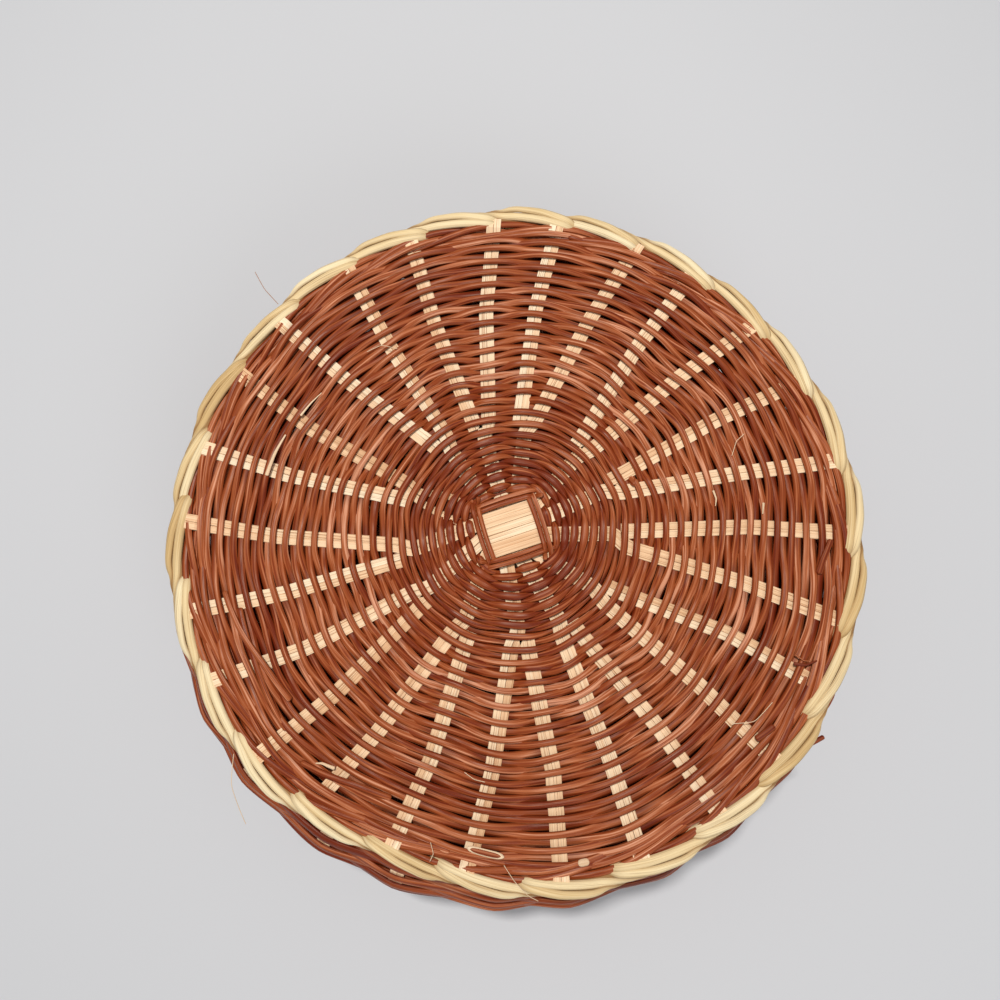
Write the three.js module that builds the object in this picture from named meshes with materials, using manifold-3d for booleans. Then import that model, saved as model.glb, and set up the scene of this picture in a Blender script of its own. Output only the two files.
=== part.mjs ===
// A bellied round basket of split rods with a flat lift-off lid, in millimetres, +Z up.
// The origin is the middle of the ring that the basket stands on. Woven walls and panels are
// closed solids of their true outer shape, with a channel for each spoke or stake. On their
// outside the wall and the lid's coarse weave pass over and under these in courses, each of
// three or four rods.

import * as THREE from "three";
import { mergeVertices } from "three/addons/utils/BufferGeometryUtils.js";
import Module from "manifold-3d";

const wasm = await Module();
wasm.setup();

// Splints and rods
const CLEARANCE = 0.3; // between pieces that touch in the real basket
const SPLINT_WIDTH = 3.2;
const SPLINT_THICKNESS = 1.0;
const SPLINTS_PER_LAYER = 6; // side by side in the centre square
const WEAVE_THICKNESS = 6; // over the crests of the rods
const WEAVE_RELIEF = 3.3; // from where a course passes over a stake to where it passes under
const NEARLY_HALF = 0.45; // of the way between two stakes, the most that a course lies flat
const SIDE_COURSES = 8; // on the wall, between its wales
const LID_COURSES = 9; // in its coarse weave

// Spokes, in degrees anticlockwise from +X. Each is a pair of splints that gains a second pair
// further out: its angle before that, the angle where the two pairs part, and for each of them
// the angles midway and at the edge.
const SPOKE_ANGLES = [
  { inner: 22.4, split: 22.2, pairs: [[13.7, 11.6], [28.0, 27.0]] },
  { inner: 47.7, split: 48.5, pairs: [[42.2, 40.0], [55.4, 54.6]] },
  { inner: 82.0, split: 81.4, pairs: [[69.6, 66.0], [83.6, 81.3]] },
  { inner: 106.0, split: 105.5, pairs: [[96.4, 93.0], [110.2, 108.9]] },
  { inner: 127.3, split: 128.7, pairs: [[123.2, 121.7], [137.6, 137.9]] },
  { inner: 160.0, split: 160.3, pairs: [[153.0, 149.7], [166.1, 164.9]] },
  { inner: 191.5, split: 191.6, pairs: [[181.7, 178.3], [195.7, 194.3]] },
  { inner: 215.6, split: 216.4, pairs: [[210.1, 206.8], [223.2, 221.9]] },
  { inner: 243.0, split: 243.9, pairs: [[236.7, 234.2], [250.7, 249.3]] },
  { inner: 273.8, split: 273.7, pairs: [[265.3, 262.3], [279.5, 277.8]] },
  { inner: 297.4, split: 298.7, pairs: [[292.9, 291.2], [306.1, 305.7]] },
  { inner: 324.0, split: 324.9, pairs: [[319.8, 318.2], [333.8, 332.5]] },
  { inner: 357.2, split: 354.7, pairs: [[346.6, 344.0], [360.3, 359.0]] },
];
const SPOKES = SPOKE_ANGLES.length;
const SLATH_TURN = 18; // the centre square's upper splints lie along this direction
const ADDED_SPOKE = 5; // the odd one, which doesn't cross the centre
const SPOKES_PER_SIDE = 3; // of the centre square

// Radii of a woven panel's zones
const ADDED_START = 18;
const FINE_WEAVE_RADIUS = 47;
const SPLIT_START = 43; // where a spoke leaves its middle line
const SPLIT_END = 50; // where its second pair lies beside it
const MIDWAY = 0.7; // of the panel's edge
const BINDING_WIDTH = 4.4; // two rods round the centre square
const BINDING_TOP = 3.2; // above the panel's middle
const WALE_WIDTH = 3.4;

// Lid
const LID_RADIUS = 150; // mean, over the crests of its border
const LID_LEVEL = 100; // middle of the lid's weave
const BORDER_WIDTH = 8;
const BORDER_HEIGHT = 8;
const STITCHES = 2 * SPOKES; // each pair that reaches the edge makes one
const STEPS_PER_STITCH = 3;
const STITCH_SWELL = 0.8;
const COLLAR_PLAY = 8.5; // between the collar and the rim, all round
const COLLAR_THICKNESS = 5;
const COLLAR_DEPTH = 13;

// Basket
const BASE_RADIUS = 112.7;
const BASE_LEVEL = 7; // middle of the base's weave
const FOOT_WIDTH = 7.5; // of the flat face that it stands on
const FOOT_HEIGHT = 10;
const FOOT_SPREAD = 8.3; // from the base's edge to the wall's middle at the foot's top
const BELLY_SWELL = 14; // how far the belly stands out past the rim
const BELLY_LEVEL = 68;
const BELLY_POWER = 2;
const SHOULDER_POWER = 1.8;
const LID_OVERHANG = 0.5; // of the lid's border past the rim's
const RIM_WALE_HEIGHT = 4.6;
const STAKE_START = 7; // above the floor
const WALL_SECTORS = 2 * STITCHES;
const STEPS_BELOW_BELLY = 4;
const STEPS_ABOVE_BELLY = 3;

// Colours of the peeled and the dyed willow
const PALE = 0xe8d3a4;
const RED = 0x9a4e34;
const DARK_RED = 0x7f3b29;

const PAIR_WIDTH = 2 * SPLINT_WIDTH;
const SLATH_SIDE = SPLINTS_PER_LAYER * SPLINT_WIDTH;
const HALF_WEAVE = WEAVE_THICKNESS / 2;
const LID_UNDERSIDE = LID_LEVEL - BORDER_HEIGHT / 2;
const RIM_TOP = LID_UNDERSIDE - CLEARANCE;
const RIM_UNDERSIDE = RIM_TOP - BORDER_HEIGHT;
const RIM_RADIUS = LID_RADIUS - LID_OVERHANG;
const RIM_WALL_RADIUS = RIM_RADIUS - BORDER_WIDTH / 2;
const BELLY_WALL_RADIUS = RIM_RADIUS + BELLY_SWELL - HALF_WEAVE;
const FOOT_WALL_RADIUS = BASE_RADIUS + FOOT_SPREAD;
const COLLAR_RADIUS = RIM_RADIUS - BORDER_WIDTH - COLLAR_PLAY;

const degrees = THREE.MathUtils.degToRad;
const basket = new THREE.Group();

function addMesh(name, geometry, color) {
  const material = new THREE.MeshStandardMaterial({ color, roughness: 0.6, metalness: 0 });
  const mesh = new THREE.Mesh(geometry, material);
  mesh.name = name;
  basket.add(mesh);
}

// Cutting and joining

function toSolid(geometry) {
  const bare = geometry.clone();
  bare.deleteAttribute("normal");
  bare.deleteAttribute("uv");
  const merged = mergeVertices(bare, 1e-4);
  const vertProperties = new Float32Array(merged.attributes.position.array);
  const triVerts = new Uint32Array(merged.index.array);
  return new wasm.Manifold(new wasm.Mesh({ numProp: 3, vertProperties, triVerts }));
}

function toGeometry(solid) {
  const mesh = solid.getMesh();
  const geometry = new THREE.BufferGeometry();
  geometry.setAttribute("position", new THREE.BufferAttribute(mesh.vertProperties, 3));
  geometry.setIndex(new THREE.BufferAttribute(mesh.triVerts, 1));
  return geometry;
}

function cut(geometry, tools) {
  const carved = tools.reduce((solid, tool) => solid.subtract(toSolid(tool)), toSolid(geometry));
  return toGeometry(carved);
}

// Shapes

function at(radius, angle) {
  return new THREE.Vector2(radius * Math.cos(degrees(angle)), radius * Math.sin(degrees(angle)));
}

// A closed ring turned about +Z from its section, whose corners run [radius, height].
function ring(section, sectors = WALL_SECTORS) {
  const profile = [...section, section[0]].map(([radius, height]) => new THREE.Vector2(radius, height));
  return new THREE.LatheGeometry(profile, sectors).rotateX(Math.PI / 2);
}

function disc(radius) {
  return new THREE.CylinderGeometry(radius, radius, WEAVE_THICKNESS, WALL_SECTORS).rotateX(Math.PI / 2);
}

function box(side, low, high) {
  const solid = new THREE.BoxGeometry(side, side, high - low).translate(0, 0, (low + high) / 2);
  return solid.rotateZ(degrees(SLATH_TURN));
}

// The outline of a strip along a route in plan: out along its right edge and back along its left.
function stripOutline(route, width) {
  const sideways = route.map((point, i) => {
    const before = route[Math.max(i - 1, 0)];
    const after = route[Math.min(i + 1, route.length - 1)];
    const along = after.clone().sub(before).normalize();
    return new THREE.Vector2(-along.y, along.x).multiplyScalar(width / 2);
  });
  const left = route.map((point, i) => point.clone().add(sideways[i]));
  const right = route.map((point, i) => point.clone().sub(sideways[i]));
  return [...right, ...left.reverse()];
}

function plate(outline, low, high) {
  const settings = { depth: high - low, bevelEnabled: false };
  return new THREE.ExtrudeGeometry(new THREE.Shape(outline), settings).translate(0, 0, low);
}

// Woven panels: the lid and the base

// A pair's middle line from where it starts to the panel's edge. At SPLIT_END a spoke's first
// pair, 0, lies beside its second, 1.
function spokeRoute(start, index, pair, edge) {
  const { split, pairs } = SPOKE_ANGLES[index];
  const bend = THREE.MathUtils.radToDeg((PAIR_WIDTH + 2 * CLEARANCE) / 2 / SPLIT_END);
  const parted = pair === 0 ? split - bend : split + bend;
  const [midway, end] = pairs[pair];
  return [...start, at(SPLIT_END, parted), at(MIDWAY * edge, midway), at(edge - 2 * CLEARANCE, end)];
}

function primaryRoute(index, edge) {
  const { inner } = SPOKE_ANGLES[index];
  const start = index === ADDED_SPOKE ? at(ADDED_START, inner) : slathPoint(index, 0);
  return spokeRoute([start, at(SPLIT_START, inner)], index, 0, edge);
}

function secondRoute(index, edge) {
  return spokeRoute([], index, 1, edge);
}

// Which side of the centre square a spoke leaves from, counted anticlockwise from the
// square's own +X, and its slot along that side.
function slathPlace(index) {
  const place = index + 1 - (index > ADDED_SPOKE ? 1 : 0);
  const turned = place % (SPOKES - 1);
  return { side: Math.floor(turned / SPOKES_PER_SIDE), slot: turned % SPOKES_PER_SIDE };
}

// A point on the square's edge, some splint widths anticlockwise from a spoke's middle.
function slathPoint(index, splints) {
  const { side, slot } = slathPlace(index);
  const across = (slot - (SPOKES_PER_SIDE - 1) / 2) * PAIR_WIDTH + splints * SPLINT_WIDTH;
  const turn = degrees(SLATH_TURN + side * 90);
  return new THREE.Vector2(SLATH_SIDE / 2, across).rotateAround(new THREE.Vector2(), turn);
}

function isUpper(index) {
  return index !== ADDED_SPOKE && slathPlace(index).side % 2 === 0;
}

// The layer that a spoke lies in, as heights from the panel's middle, grown by a clearance.
function layer(upper, grown = 0) {
  const low = upper ? CLEARANCE / 2 : -CLEARANCE / 2 - SPLINT_THICKNESS;
  return [low - grown, low + SPLINT_THICKNESS + grown];
}

function spokeSolid(route, upper) {
  return plate(stripOutline(route, PAIR_WIDTH), ...layer(upper));
}

// The room that a spoke needs, open at the panel's edge. It starts a little before the spoke.
function spokeChannel(route, upper, before = CLEARANCE) {
  const first = route[0].clone().sub(route[1]).setLength(before).add(route[0]);
  const last = route[route.length - 1];
  const ends = [first, ...route.slice(1, -1), last.clone().setLength(last.length() + 2)];
  return plate(stripOutline(ends, PAIR_WIDTH + 2 * CLEARANCE), ...layer(upper, CLEARANCE));
}

// One layer of the centre square with the spokes that its splints run out to.
function slathLayer(upper, edge) {
  const arms = crossingSpokes().filter((i) => isUpper(i) === upper);
  const outline = arms.flatMap((i) => {
    const beyond = stripOutline(primaryRoute(i, edge), PAIR_WIDTH).slice(1, -1);
    const lastOfSide = slathPlace(i).slot === SPOKES_PER_SIDE - 1;
    return [slathPoint(i, -1), ...beyond, ...(lastOfSide ? [slathPoint(i, 1)] : [])];
  });
  return plate(outline, ...layer(upper));
}

// Anticlockwise from the square's own +X.
function crossingSpokes() {
  const crossing = spokeNumbers().filter((i) => i !== ADDED_SPOKE);
  return [crossing[crossing.length - 1], ...crossing.slice(0, -1)];
}

function spokeNumbers() {
  return Array.from({ length: SPOKES }, (_, i) => i);
}

// The panel's solids about its own middle, with its outside up.
function wovenPanel(edge, hasSeconds) {
  const secondSpokes = hasSeconds ? spokeNumbers() : [];
  const channels = [
    box(SLATH_SIDE + 2 * CLEARANCE, ...layer(true, CLEARANCE)),
    box(SLATH_SIDE + 2 * CLEARANCE, ...layer(false, CLEARANCE)),
    ...crossingSpokes().map((i) => spokeChannel(primaryRoute(i, edge), isUpper(i), SPLINT_WIDTH)),
    spokeChannel(primaryRoute(ADDED_SPOKE, edge), false),
    ...secondSpokes.map((i) => spokeChannel(secondRoute(i, edge), isUpper(i))),
  ];
  const bindingLow = layer(true)[1] + CLEARANCE;
  const bindingSide = SLATH_SIDE + 2 * CLEARANCE + 2 * BINDING_WIDTH;
  const window = box(SLATH_SIDE + 2 * CLEARANCE, -WEAVE_THICKNESS, WEAVE_THICKNESS);
  const pocket = box(bindingSide + 2 * CLEARANCE, bindingLow - CLEARANCE, WEAVE_THICKNESS);
  const coarseEdge = hasSeconds ? edge - WALE_WIDTH - CLEARANCE : edge;
  return {
    slathUpper: slathLayer(true, edge),
    slathLower: slathLayer(false, edge),
    addedSpoke: spokeSolid(primaryRoute(ADDED_SPOKE, edge), false),
    secondSpokes: secondSpokes.map((i) => spokeSolid(secondRoute(i, edge), isUpper(i))),
    binding: cut(box(bindingSide, bindingLow, BINDING_TOP), [window]),
    fineWeave: cut(disc(FINE_WEAVE_RADIUS), [window, pocket, ...channels]),
    coarseWeave: cut((hasSeconds ? wovenBand : band)(FINE_WEAVE_RADIUS + CLEARANCE, coarseEdge, edge), channels),
    wale: hasSeconds ? cut(band(edge - WALE_WIDTH, edge), channels) : null,
  };
}

function band(inner, outer) {
  const low = -HALF_WEAVE;
  const high = HALF_WEAVE;
  return ring([[inner, low], [outer, low], [outer, high], [inner, high]]);
}

// The same band in courses, from the outside in. Its inner edge is straight from corner to
// corner, so the corners stand back a little.
function wovenBand(inner, outer, edge) {
  const courses = Array.from({ length: LID_COURSES + 1 }, (_, i) => {
    const radius = THREE.MathUtils.lerp(outer, inner + CLEARANCE, i / LID_COURSES);
    const crossings = spokeNumbers().flatMap((k) => [
      crossingAngle(primaryRoute(k, edge), radius, SPOKE_ANGLES[k].split),
      crossingAngle(secondRoute(k, edge), radius, SPOKE_ANGLES[k].split),
    ]);
    return { radius, height: 0, outward: [0, 1], crossings };
  });
  return wovenSheet(courses);
}

// The angle in degrees at which a route passes a radius, counted on from an angle near it.
function crossingAngle(route, radius, near) {
  const next = route.findIndex((point) => point.length() > radius);
  const before = route[Math.max(next - 1, 0)];
  const share = THREE.MathUtils.inverseLerp(before.length(), route[next].length(), radius);
  const point = next === 0 ? before.clone() : before.clone().lerp(route[next], share);
  const angle = THREE.MathUtils.radToDeg(point.angle());
  return near + THREE.MathUtils.euclideanModulo(angle - near + 180, 360) - 180;
}

// A closed sheet round +Z. Each course has its middle's radius and height, the direction of its
// outside as [radial, upward], and the angles of what it crosses, over one and under the next.
function wovenSheet(courses) {
  const positions = [];
  const indices = [];
  const stations = 2 * courses[0].crossings.length;
  const quad = (a, b, c, d) => indices.push(a, b, c, a, c, d);
  courses.forEach((course, j) => {
    const { crossings } = course;
    for (const face of [1, -1]) {
      crossings.forEach((angle, k) => {
        const over = (j + k) % 2 === 0 ? 1 : -1;
        const [before, after] = flatReach(course, k);
        positions.push(...coursePoint(course, face, over, angle - before));
        positions.push(...coursePoint(course, face, over, angle + after));
      });
    }
    const here = 2 * j * stations;
    for (let i = 0; i < stations; i += 1) {
      const [near, far] = [here + i, here + ((i + 1) % stations)];
      const [nearIn, farIn] = [near + stations, far + stations];
      const up = 2 * stations;
      if (j === 0) {
        quad(near, nearIn, farIn, far);
      }
      if (j === courses.length - 1) {
        quad(near, far, farIn, nearIn);
      } else {
        quad(near, far, far + up, near + up);
        quad(nearIn, nearIn + up, farIn + up, farIn);
      }
    }
  });
  const geometry = new THREE.BufferGeometry();
  geometry.setAttribute("position", new THREE.Float32BufferAttribute(positions, 3));
  geometry.setIndex(indices);
  return geometry;
}

// How far a course lies flat before and after the middle of a crossing, in degrees: past the
// pair that it crosses, or nearly half of the way to the next one.
function flatReach({ radius, crossings }, k) {
  const full = THREE.MathUtils.radToDeg((PAIR_WIDTH / 2 + 2 * CLEARANCE) / radius);
  const last = crossings.length - 1;
  const before = k > 0 ? crossings[k] - crossings[k - 1] : crossings[0] + 360 - crossings[last];
  const after = k < last ? crossings[k + 1] - crossings[k] : crossings[0] + 360 - crossings[last];
  return [before, after].map((gap) => Math.min(full, NEARLY_HALF * gap));
}

// A point of a course's outside (face 1), where it lies over what it crosses (over 1) or under
// it (over -1), or of its plain inside (face -1).
function coursePoint({ radius, height, outward }, face, over, angle) {
  const sunk = face === 1 && over === -1 ? WEAVE_RELIEF : 0;
  const offset = face * HALF_WEAVE - sunk;
  const { x, y } = at(radius + offset * outward[0], angle);
  return [x, y, height + offset * outward[1]];
}

// Plaited borders

// A six-sided ring that swells once in each stitch, most where the stitch rounds the edge.
function border(outer, low) {
  const positions = [];
  const indices = [];
  const sections = STITCHES * STEPS_PER_STITCH;
  const corners = 6;
  for (let i = 0; i < sections; i += 1) {
    const turn = (i / sections) * 2 * Math.PI;
    const phase = (i % STEPS_PER_STITCH) / STEPS_PER_STITCH;
    const swell = STITCH_SWELL * (Math.sin(Math.PI * phase) - 0.5);
    for (let j = 0; j < corners; j += 1) {
      const corner = (j / corners) * 2 * Math.PI;
      const across = (BORDER_WIDTH / 2) * Math.cos(corner);
      const radius = outer - BORDER_WIDTH / 2 + across + (across > 0 ? swell : 0);
      const height = low + BORDER_HEIGHT / 2 + (BORDER_HEIGHT / 2 / Math.sin(Math.PI / 3)) * Math.sin(corner);
      positions.push(radius * Math.cos(turn), radius * Math.sin(turn), height);
      const next = ((i + 1) % sections) * corners;
      const here = i * corners + j;
      const up = i * corners + ((j + 1) % corners);
      const nextHere = next + j;
      const nextUp = next + ((j + 1) % corners);
      indices.push(here, nextHere, nextUp, here, nextUp, up);
    }
  }
  const geometry = new THREE.BufferGeometry();
  geometry.setAttribute("position", new THREE.Float32BufferAttribute(positions, 3));
  geometry.setIndex(indices);
  return geometry;
}

// The bellied wall

// The wall's middle radius and its slope at a height.
function wallMiddle(height) {
  const below = height < BELLY_LEVEL;
  const end = below ? FOOT_WALL_RADIUS : RIM_WALL_RADIUS;
  const reach = below ? BELLY_LEVEL - FOOT_HEIGHT : RIM_UNDERSIDE - BELLY_LEVEL;
  const power = below ? BELLY_POWER : SHOULDER_POWER;
  const share = Math.abs(height - BELLY_LEVEL) / reach;
  const inset = BELLY_WALL_RADIUS - end;
  const slope = (Math.sign(BELLY_LEVEL - height) * inset * power * share ** (power - 1)) / reach;
  return { radius: BELLY_WALL_RADIUS - inset * share ** power, slope };
}

// Heights from low to high, with one of them at the belly where they pass it.
function wallLevels(low, high) {
  if (low >= BELLY_LEVEL) {
    return [low, high];
  }
  const below = Array.from({ length: STEPS_BELOW_BELLY }, (_, i) => i / STEPS_BELOW_BELLY);
  const above = Array.from({ length: STEPS_ABOVE_BELLY + 1 }, (_, i) => i / STEPS_ABOVE_BELLY);
  return [
    ...below.map((share) => THREE.MathUtils.lerp(low, BELLY_LEVEL, share)),
    ...above.map((share) => THREE.MathUtils.lerp(BELLY_LEVEL, high, share)),
  ];
}

// The corners of a slice of the wall of some thickness, cut level at both ends.
function wallSection(low, high, thickness) {
  const outside = [];
  const inside = [];
  for (const height of wallLevels(low, high)) {
    const { radius, slope } = wallMiddle(height);
    const half = (thickness / 2) * Math.hypot(1, slope);
    outside.push([radius + half, height]);
    inside.unshift([radius - half, height]);
  }
  return [...outside, ...inside];
}

// The side's courses, evenly spaced along the wall.
function sideCourses(low, high) {
  const points = wallLevels(low, high).map((height) => new THREE.Vector2(wallMiddle(height).radius, height));
  const crossings = Array.from({ length: 2 * SPOKES }, (_, i) => stakeAngle(i)).reverse();
  return new THREE.SplineCurve(points).getSpacedPoints(SIDE_COURSES).map(({ y: height }) => {
    const { radius, slope } = wallMiddle(height);
    return { radius, height, outward: [Math.hypot(1, slope), 0], crossings };
  });
}

function stakeSolid(index, low, high, grown = 0) {
  const section = wallSection(low, high, SPLINT_THICKNESS + 2 * grown);
  const outline = new THREE.Shape(section.map(([radius, height]) => new THREE.Vector2(radius, height)));
  const width = PAIR_WIDTH + 2 * grown;
  const solid = new THREE.ExtrudeGeometry(outline, { depth: width, bevelEnabled: false });
  solid.rotateX(Math.PI / 2).translate(0, width / 2, 0);
  return solid.rotateZ(degrees(stakeAngle(index)));
}

// A stake stands at the end of a pair of the base, which lies with its outside down.
function stakeAngle(index) {
  const [, end] = SPOKE_ANGLES[Math.floor(index / 2)].pairs[index % 2];
  return -end;
}

// The lid

const lidEdge = LID_RADIUS - BORDER_WIDTH - CLEARANCE;

function addLid() {
  const panel = wovenPanel(lidEdge, true);
  const place = (geometry) => geometry.translate(0, 0, LID_LEVEL);
  addMesh("lid_slath_upper", place(panel.slathUpper), PALE);
  addMesh("lid_slath_lower", place(panel.slathLower), PALE);
  addMesh("lid_added_spoke", place(panel.addedSpoke), PALE);
  panel.secondSpokes.forEach((solid, i) => addMesh(`lid_second_spoke_${i + 1}`, place(solid), PALE));
  addMesh("lid_slath_binding", place(panel.binding), DARK_RED);
  addMesh("lid_fine_weave", place(panel.fineWeave), RED);
  addMesh("lid_coarse_weave", place(panel.coarseWeave), RED);
  addMesh("lid_wale", place(panel.wale), DARK_RED);
  addMesh("lid_border", border(LID_RADIUS, LID_UNDERSIDE), PALE);
  const top = LID_LEVEL - HALF_WEAVE - CLEARANCE;
  const inner = COLLAR_RADIUS - COLLAR_THICKNESS;
  const low = top - COLLAR_DEPTH;
  const section = [[inner, low], [COLLAR_RADIUS, low], [COLLAR_RADIUS, top], [inner, top]];
  addMesh("lid_collar", ring(section), RED);
}

// The base, with its outside down

function addBase() {
  const panel = wovenPanel(BASE_RADIUS, false);
  const place = (geometry) => geometry.rotateX(Math.PI).translate(0, 0, BASE_LEVEL);
  addMesh("base_slath_outer", place(panel.slathUpper), PALE);
  addMesh("base_slath_inner", place(panel.slathLower), PALE);
  addMesh("base_added_spoke", place(panel.addedSpoke), PALE);
  addMesh("base_slath_binding", place(panel.binding), DARK_RED);
  addMesh("base_fine_weave", place(panel.fineWeave), RED);
  addMesh("base_coarse_weave", place(panel.coarseWeave), RED);
}

// The side wall

function addSide() {
  const stakeTop = RIM_UNDERSIDE - CLEARANCE;
  const stakes = Array.from({ length: 2 * SPOKES }, (_, i) => i);
  const channelLow = STAKE_START - CLEARANCE;
  const channels = stakes.map((i) => stakeSolid(i, channelLow, RIM_UNDERSIDE, CLEARANCE));
  const waleLow = RIM_UNDERSIDE - CLEARANCE - RIM_WALE_HEIGHT;
  const inner = BASE_RADIUS + CLEARANCE;
  const weaveLow = FOOT_HEIGHT + CLEARANCE;
  const [weaveFoot] = wallSection(weaveLow, waleLow, WEAVE_THICKNESS);
  const footTop = [weaveFoot[0], FOOT_HEIGHT];
  const foot = ring([[inner, 0], [inner + FOOT_WIDTH, 0], footTop, [inner, FOOT_HEIGHT]]);
  const weave = wovenSheet(sideCourses(weaveLow, waleLow - CLEARANCE));
  const wale = ring(wallSection(waleLow, RIM_UNDERSIDE - CLEARANCE, WEAVE_THICKNESS));
  stakes.forEach((i) => addMesh(`side_stake_${i + 1}`, stakeSolid(i, STAKE_START, stakeTop), PALE));
  addMesh("foot_wale", cut(foot, channels), DARK_RED);
  addMesh("side_weave", cut(weave, channels), RED);
  addMesh("rim_wale", cut(wale, channels), DARK_RED);
  addMesh("rim_border", border(RIM_RADIUS, RIM_UNDERSIDE), PALE);
}

addLid();
addBase();
addSide();

export default basket;
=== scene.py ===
# Looks of the lidded basket: every splint and rod of the weave, in metres, in the frame of the CAD part.
# Lengths below are in millimetres and are turned into metres when a mesh is made.

import math

import bpy
import numpy as np
from mathutils import Matrix, Vector


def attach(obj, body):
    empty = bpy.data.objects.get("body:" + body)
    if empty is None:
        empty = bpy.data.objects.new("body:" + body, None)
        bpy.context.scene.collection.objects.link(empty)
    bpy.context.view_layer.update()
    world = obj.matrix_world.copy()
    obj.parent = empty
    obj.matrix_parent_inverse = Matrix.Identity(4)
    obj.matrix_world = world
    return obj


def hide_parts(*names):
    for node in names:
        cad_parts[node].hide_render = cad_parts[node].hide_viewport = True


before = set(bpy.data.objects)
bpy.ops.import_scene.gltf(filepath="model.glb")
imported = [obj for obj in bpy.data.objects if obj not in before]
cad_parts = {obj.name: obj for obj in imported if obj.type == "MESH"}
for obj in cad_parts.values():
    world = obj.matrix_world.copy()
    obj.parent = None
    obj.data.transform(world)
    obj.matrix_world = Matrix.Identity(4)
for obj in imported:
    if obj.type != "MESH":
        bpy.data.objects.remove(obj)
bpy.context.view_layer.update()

MM = 0.001
TAU = 2 * math.pi
RODS = np.random.RandomState(11)

# Splints
SPLINT_WIDTH = 3.3
SPLINT_THICKNESS = 1.0
PAIR_GAP = 0.06  # between the two splints of a pair
SPLINTS_PER_LAYER = 6
LAYER_RISE = 0.62  # of a centre layer from the panel's middle
LAYER_EASE = (12, 26)  # the radii between which a layer comes back to the middle

# Spokes, in degrees anticlockwise from +X. Each is a pair of splints that gains a second pair
# further out: its angle before that, the angle where the two pairs part, and for each of them
# the angles midway and at the edge.
SPOKE_ANGLES = [
    (22.4, 22.2, (13.7, 11.6), (28.0, 27.0)),
    (47.7, 48.5, (42.2, 40.0), (55.4, 54.6)),
    (82.0, 81.4, (69.6, 66.0), (83.6, 81.3)),
    (106.0, 105.5, (96.4, 93.0), (110.2, 108.9)),
    (127.3, 128.7, (123.2, 121.7), (137.6, 137.9)),
    (160.0, 160.3, (153.0, 149.7), (166.1, 164.9)),
    (191.5, 191.6, (181.7, 178.3), (195.7, 194.3)),
    (215.6, 216.4, (210.1, 206.8), (223.2, 221.9)),
    (243.0, 243.9, (236.7, 234.2), (250.7, 249.3)),
    (273.8, 273.7, (265.3, 262.3), (279.5, 277.8)),
    (297.4, 298.7, (292.9, 291.2), (306.1, 305.7)),
    (324.0, 324.9, (319.8, 318.2), (333.8, 332.5)),
    (357.2, 354.7, (346.6, 344.0), (360.3, 359.0)),
]
SPOKES = len(SPOKE_ANGLES)
SPOKES_PER_SIDE = 3  # of the centre square
MIDWAY = 0.7  # of the spokes' reach
SLATH_TURN = 18  # degrees, the direction of the centre square's upper splints
SLATH_LEAD = 2.5  # how far a spoke runs on straight
ADDED_SPOKE = 5  # the odd one, which doesn't cross the centre
ADDED_SPREAD = (11.0, 0.0)  # degrees between its two splints: at its start and where the weave opens
ADDED_LEVEL = -0.1
ROUTE_STEP = 0.8
ROUTE_EASE = 7  # the length over which a bend is eased

# A woven panel, by radius
ADDED_START = 14.5
FIRST_ROW = 17.2
ROUND_FROM = 25  # the rows nearer the middle follow the centre square
FINE_PITCH = 2.05
FINE_END = 43
DOUBLE_PITCH = 2.65
DOUBLE_END = 57.5  # up to here both pairs of a spoke are crossed as one
COARSE_PITCH = 3.02
SPLIT_START = 43.5  # where a spoke leaves its middle line
SPLIT_END = 50  # where its second pair lies beside it
SECOND_START = 47
PAIRS_APART = 0.15

# The lid and the rim aren't quite round: towards which angle, over how many degrees and by how
# many mm the edge lies further out. The shift grows from none to all between two radii and levels.
OUT_OF_ROUND = [(50, 22, -1.8), (110, 20, 0.8), (143, 8, -1.2), (211, 12, -1.6), (249, 20, -6.3)]
SHIFTED_RADII = (80, 150)
SHIFTED_LEVELS = (66, 88)

# Rods
WEAVE_RISE = 1.62  # of a rod's middle where it passes over a splint
WEAVE_SINK = 1.1  # where it passes under one
ROD_SIDES = 8
ROD_TONE = (0.46, 0.24)  # mean and spread of the rods' tones, from 0, dark, to 1, light
CAP_STEPS = np.array([0.5, 0.31])  # the rings of a rod's rounded end: how far out, in widths
CAP_SIZES = np.array([0.35, 0.8])  # and how wide
# Painted shade in a rod's colour: how far over the weave's middle it starts, and over how much it deepens
SHADED_BELOW = 0.35  # over the weave's middle
SHADE_DEPTH = 0.8
LAP = 3  # steps by which the ends of two rods overlap
ROD_THICKNESS = 2.35
FINE_SIZES = [  # by radius: width over a splint, width between splints, thickness
    ([FIRST_ROW, 34, FINE_END, DOUBLE_END], [3.7, 3.8, 3.4, 2.9]),
    ([FIRST_ROW, FINE_END, DOUBLE_END], [2.3, 2.5, 3.2]),
    ([FIRST_ROW, FINE_END, DOUBLE_END], [1.8, 2.0, 2.3]),
]
COARSE_SIZES = [([DOUBLE_END], [2.9]), ([DOUBLE_END], [3.5]), ([DOUBLE_END], [ROD_THICKNESS])]
FINE_TIGHT = ([FIRST_ROW, FINE_END], [0.72, 1])  # share of the weave's rise and sink
FINE_DARKER = ([FINE_END, DOUBLE_END + 15], [0.28, 0])  # by how much, by radius
UNDER_WIDER = 0.12  # how much wider a rod is under a splint, as a share
ROD_SHIFT = 0.14  # how far a rod mostly lies beside its row
CREST_FLATNESS = 1.15  # how flat a rod lies on a splint
CREST_LIMITS = (0.8, 2.6)
SQUARE_POWER = 4.0  # how square the first rows are
SQUARE_MEAN = 1.08  # what that shape's radius is divided by
STEPS_PER_SPOKE = 12  # points along a rod
FINE_MEND = (1.6, 2.6)  # turns from one rod's end to the next, at least and at most
COARSE_MEND = (0.9, 1.7)
BINDING_OUT = (1.25, 3.4)  # of its two rods from the centre square
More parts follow.
